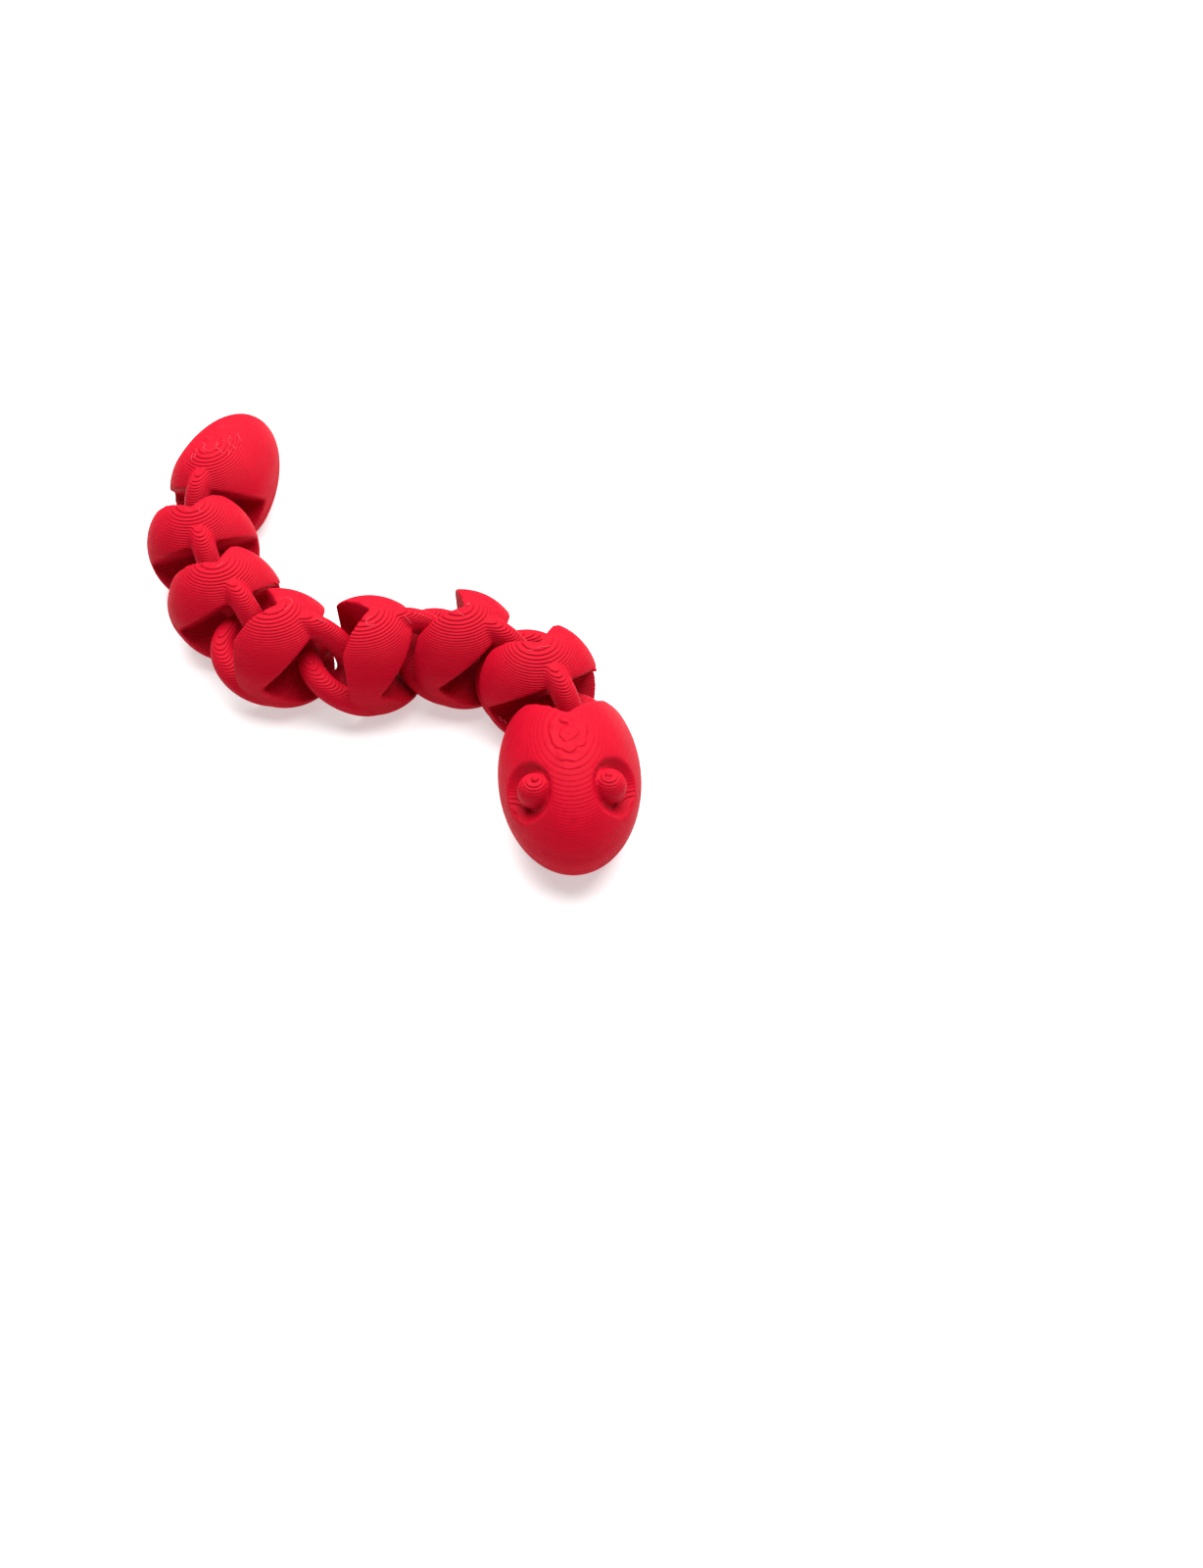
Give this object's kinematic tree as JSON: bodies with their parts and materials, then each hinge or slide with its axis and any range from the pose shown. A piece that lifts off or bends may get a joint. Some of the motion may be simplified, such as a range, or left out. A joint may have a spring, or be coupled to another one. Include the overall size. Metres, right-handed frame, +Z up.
{
  "type": "articulated snake toy",
  "caption": "Print-in-place articulated snake toy with a round-eyed head, a chain of ball-shaped links joined by interlocking rings, and a tapered tail, lying in an S",
  "frame": {"origin": "On the ground, under the middle of the head's ball. The head keeps its place when the joints turn.", "axes": "Snout of the head towards -Y, head's right side (as the snake sees it) towards -X, +Z up out of the ground that every piece lies on. The body runs from the head towards +Y and -X."},
  "size_m": [0.0569, 0.0779, 0.0132],
  "materials": {
    "red_plastic": "matte, with fine printed layers"
  },
  "bodies": {
    "head": {"head": "red_plastic"},
    "link_6": {"link_6": "red_plastic"},
    "link_5": {"link_5": "red_plastic"},
    "link_4": {"link_4": "red_plastic"},
    "link_3": {"link_3": "red_plastic"},
    "link_2": {"link_2": "red_plastic"},
    "link_1": {"link_1": "red_plastic"},
    "tail": {"tail": "red_plastic"}
  },
  "joints": [
    {"name": "head_to_link_6", "type": "hinge", "parent": "head", "child": "link_6", "pos_m": [0.0008, 0.0064, 0.006], "axis": [0, 0, 1], "range_deg": [-62, 14]},
    {"name": "link_6_to_link_5", "type": "hinge", "parent": "link_6", "child": "link_5", "pos_m": [-0.00379, 0.01596, 0.006], "axis": [0, 0, 1], "range_deg": [-75, 1]},
    {"name": "link_5_to_link_4", "type": "hinge", "parent": "link_5", "child": "link_4", "pos_m": [-0.0132, 0.02084, 0.006], "axis": [0, 0, 1], "range_deg": [-75, 1]},
    {"name": "link_4_to_link_3", "type": "hinge", "parent": "link_4", "child": "link_3", "pos_m": [-0.02366, 0.01907, 0.006], "axis": [0, 0, 1], "range_deg": [-11, 65]},
    {"name": "link_3_to_link_2", "type": "hinge", "parent": "link_3", "child": "link_2", "pos_m": [-0.03386, 0.02321, 0.006], "axis": [0, 0, 1], "range_deg": [-1, 75]},
    {"name": "link_2_to_link_1", "type": "hinge", "parent": "link_2", "child": "link_1", "pos_m": [-0.04004, 0.03292, 0.006], "axis": [0, 0, 1], "range_deg": [-22, 54]},
    {"name": "link_1_to_tail", "type": "hinge", "parent": "link_1", "child": "tail", "pos_m": [-0.0436, 0.04385, 0.006], "axis": [0, 0, 1], "range_deg": [-8, 68]}
  ]
}
